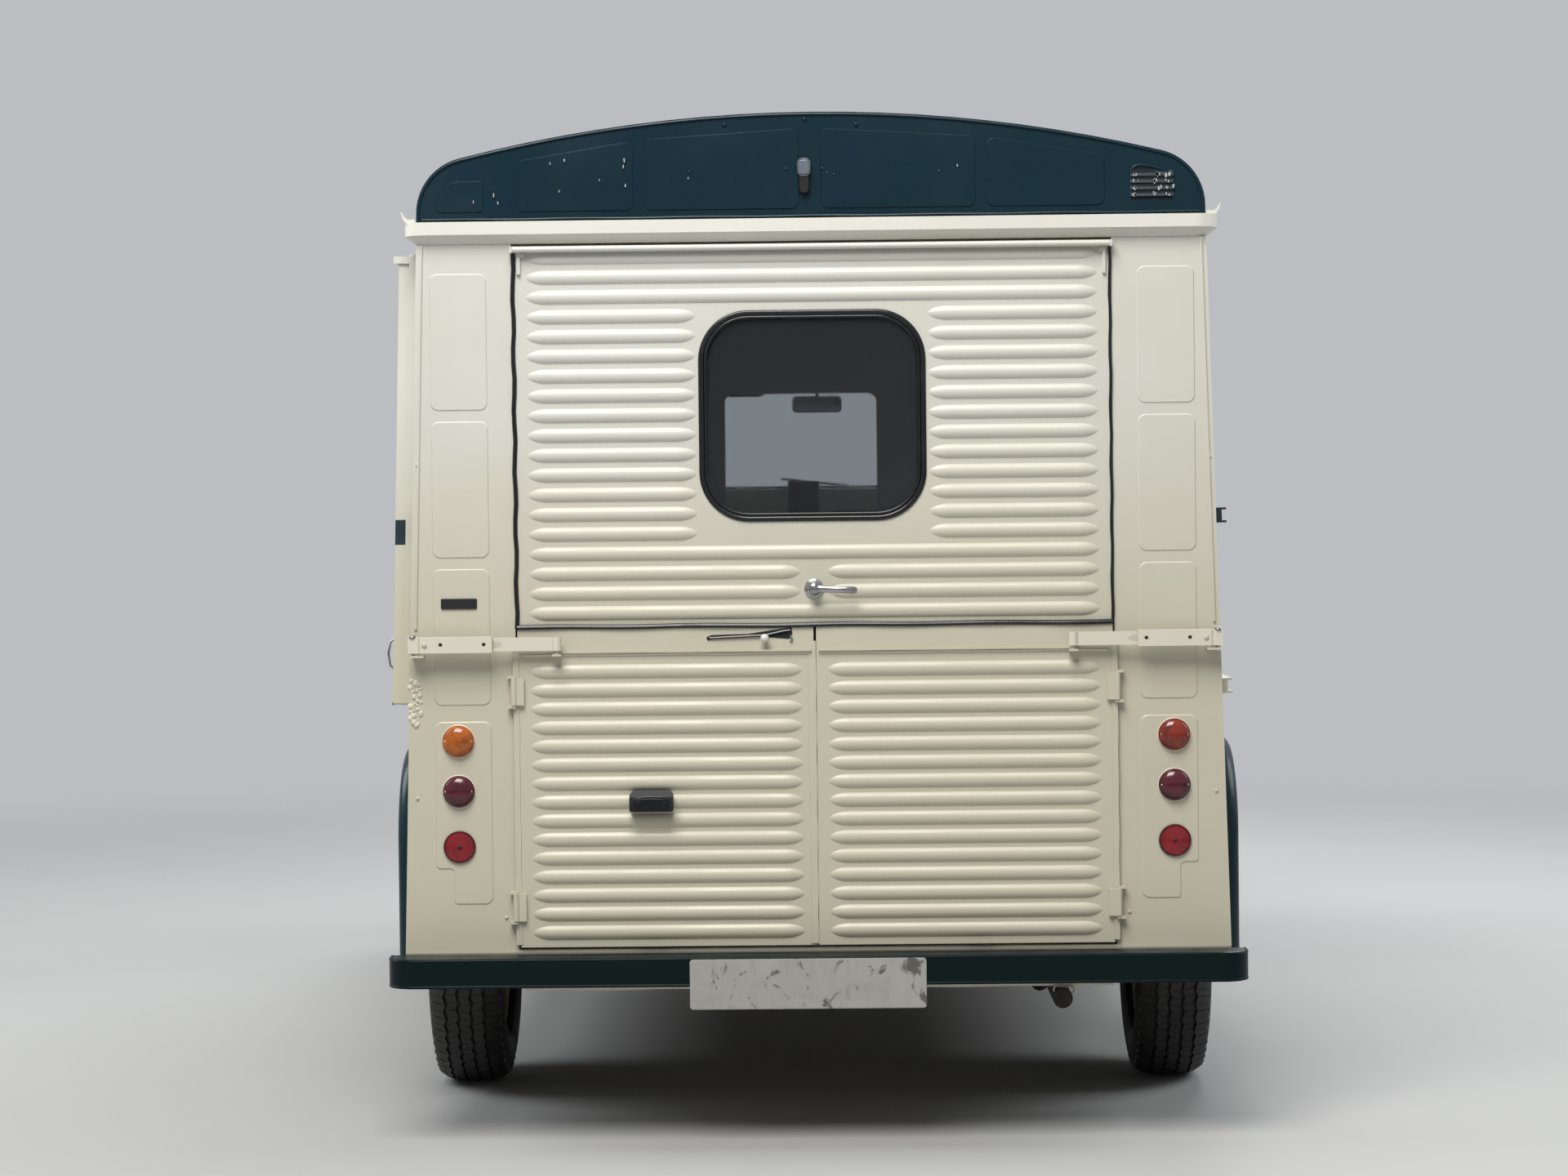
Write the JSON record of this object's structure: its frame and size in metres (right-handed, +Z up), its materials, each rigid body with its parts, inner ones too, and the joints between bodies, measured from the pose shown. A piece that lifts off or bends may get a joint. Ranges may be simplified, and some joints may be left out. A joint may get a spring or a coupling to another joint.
{
  "type": "ice cream van",
  "caption": "Low box van with a corrugated body, side serving hatch, sliding side door, split rear doors and a snub bonnet.",
  "frame": {"origin": "on the ground below the middle of the van", "axes": "+X to the van's right side, +Y forwards, +Z up"},
  "size_m": [2.2432, 4.2686, 2.2999],
  "materials": {
    "cream_paint": "weathered cream gloss",
    "green_paint": "weathered dark green gloss",
    "underframe_paint": "chipped off-white",
    "cabin_paint": "dull cream",
    "wheel_paint": "satin",
    "steel": "dull",
    "bright_metal": "polished",
    "glass": "clear",
    "rubber": "matt",
    "tyre_rubber": "worn",
    "lamp_glass": "clear",
    "black_plastic": "satin",
    "plate_white": "gloss",
    "seat_cloth": "woven"
  },
  "bodies": {
    "root": {"floor_pan": "underframe_paint", "wall_left": "cream_paint", "wall_right": "cream_paint", "rear_frame": "cream_paint", "rain_gutter": "green_paint", "roof_shell": "green_paint", "cab_front": "cream_paint", "windscreen": "glass", "nose_shell": "cream_paint", "grille": "green_paint", "front_wings": "green_paint", "rear_wheel_arches": "green_paint", "bumpers": "green_paint", "number_plates": "plate_white", "rear_lamps": "lamp_glass", "headlamps": "bright_metal", "turn_lamps": "lamp_glass", "stay_brackets": "steel", "hatch_frame": "cream_paint", "side_rails": "cream_paint", "rear_axle": "steel", "front_axle": "steel", "partition": "cabin_paint", "seats": "seat_cloth", "dashboard": "black_plastic", "interior_mirror": "black_plastic", "engine_block": "steel", "fuel_tank": "steel", "exhaust": "steel"},
    "tailgate": {"tailgate": "cream_paint", "rear_window": "glass", "rear_window_seal": "rubber", "tailgate_handle": "bright_metal"},
    "lower_door_left": {"lower_door_left": "cream_paint", "plate_lamp": "black_plastic"},
    "lower_door_right": {"lower_door_right": "cream_paint"},
    "stay_channel_left": {"stay_channel_left": "steel"},
    "stay_bar_left": {"stay_bar_left": "steel"},
    "stay_channel_right": {"stay_channel_right": "steel"},
    "stay_bar_right": {"stay_bar_right": "steel"},
    "hatch_flap": {"hatch_flap": "cream_paint"},
    "cab_door_left": {"cab_door_left": "cream_paint", "cab_glass_left": "glass"},
    "cab_door_right": {"cab_door_right": "cream_paint", "cab_glass_right": "glass"},
    "side_door": {"side_door": "cream_paint", "side_door_glass": "glass"},
    "bonnet": {"bonnet": "cream_paint"},
    "knuckle_left": {"knuckle_left": "steel"},
    "knuckle_right": {"knuckle_right": "steel"},
    "steering_wheel": {"steering_wheel": "black_plastic"},
    "wheel_front_left": {"tyre_front_left": "tyre_rubber", "rim_front_left": "wheel_paint"},
    "wheel_front_right": {"tyre_front_right": "tyre_rubber", "rim_front_right": "wheel_paint"},
    "wheel_rear_left": {"tyre_rear_left": "tyre_rubber", "rim_rear_left": "wheel_paint"},
    "wheel_rear_right": {"tyre_rear_right": "tyre_rubber", "rim_rear_right": "wheel_paint"}
  },
  "joints": [
    {"name": "tailgate", "type": "hinge", "parent": "root", "child": "tailgate", "pos_m": [0, -2.03, 1.998], "axis": [-1, 0, 0], "range_deg": [0, 95]},
    {"name": "lower_door_left", "type": "hinge", "parent": "root", "child": "lower_door_left", "pos_m": [-0.676, -2.026, 0], "axis": [0, 0, -1], "range_deg": [0, 90]},
    {"name": "lower_door_right", "type": "hinge", "parent": "root", "child": "lower_door_right", "pos_m": [0.676, -2.026, 0], "axis": [0, 0, 1], "range_deg": [0, 90]},
    {"name": "stay_channel_left", "type": "hinge", "parent": "root", "child": "stay_channel_left", "pos_m": [-0.899, -2.045, 0], "axis": [0, 0, -1], "range_deg": [0, 23.4]},
    {"name": "stay_bar_left", "type": "hinge", "parent": "lower_door_left", "child": "stay_bar_left", "pos_m": [-0.577, -2.045, 0], "axis": [0, 0, 1], "range_deg": [0, 66.6]},
    {"name": "stay_channel_right", "type": "hinge", "parent": "root", "child": "stay_channel_right", "pos_m": [0.899, -2.045, 0], "axis": [0, 0, 1], "range_deg": [0, 23.4]},
    {"name": "stay_bar_right", "type": "hinge", "parent": "lower_door_right", "child": "stay_bar_right", "pos_m": [0.577, -2.045, 0], "axis": [0, 0, -1], "range_deg": [0, 66.6]},
    {"name": "hatch_flap", "type": "hinge", "parent": "root", "child": "hatch_flap", "pos_m": [-0.94175, 0, 1.9868], "axis": [0, 1, 0], "range_deg": [0, 95]},
    {"name": "cab_door_left", "type": "hinge", "parent": "root", "child": "cab_door_left", "pos_m": [-0.9484, 0.4975, 0.00024], "axis": [0.0272, 0, 0.9996], "range_deg": [0, 70]},
    {"name": "cab_door_right", "type": "hinge", "parent": "root", "child": "cab_door_right", "pos_m": [0.9484, 0.4975, 0.00024], "axis": [0.0272, 0, -0.9996], "range_deg": [0, 70]},
    {"name": "side_door", "type": "slide", "parent": "root", "child": "side_door", "axis": [0, -1, 0], "range_m": [0, 0.82]},
    {"name": "bonnet", "type": "hinge", "parent": "root", "child": "bonnet", "pos_m": [0, 1.352, 1.302], "axis": [1, 0, 0], "range_deg": [0, 60]},
    {"name": "steer_left", "type": "hinge", "parent": "root", "child": "knuckle_left", "pos_m": [-0.8, 1.37, 0.325], "axis": [0, 0, 1], "range_deg": [-33, 33]},
    {"name": "steer_right", "type": "hinge", "parent": "root", "child": "knuckle_right", "pos_m": [0.8, 1.37, 0.325], "axis": [0, 0, 1], "range_deg": [-33, 33]},
    {"name": "steering_wheel", "type": "hinge", "parent": "root", "child": "steering_wheel", "pos_m": [-0.33, 0.9, 1.18], "axis": [0, -0.8192, 0.5736], "range_deg": [-462, 462]},
    {"name": "wheel_front_left", "type": "hinge", "parent": "knuckle_left", "child": "wheel_front_left", "pos_m": [-0.857, 1.37, 0.325], "axis": [1, 0, 0], "continuous": true},
    {"name": "wheel_front_right", "type": "hinge", "parent": "knuckle_right", "child": "wheel_front_right", "pos_m": [0.857, 1.37, 0.325], "axis": [1, 0, 0], "continuous": true},
    {"name": "wheel_rear_left", "type": "hinge", "parent": "root", "child": "wheel_rear_left", "pos_m": [-0.857, -1.13, 0.325], "axis": [1, 0, 0], "continuous": true},
    {"name": "wheel_rear_right", "type": "hinge", "parent": "root", "child": "wheel_rear_right", "pos_m": [0.857, -1.13, 0.325], "axis": [1, 0, 0], "continuous": true}
  ],
  "couplings": [
    {"joint": "stay_channel_left", "follows": "lower_door_left", "ratio": 0.26},
    {"joint": "stay_bar_left", "follows": "lower_door_left", "ratio": 0.74},
    {"joint": "stay_channel_right", "follows": "lower_door_right", "ratio": 0.26},
    {"joint": "stay_bar_right", "follows": "lower_door_right", "ratio": 0.74},
    {"joint": "steer_right", "follows": "steer_left", "ratio": 1},
    {"joint": "steering_wheel", "follows": "steer_left", "ratio": 14}
  ]
}
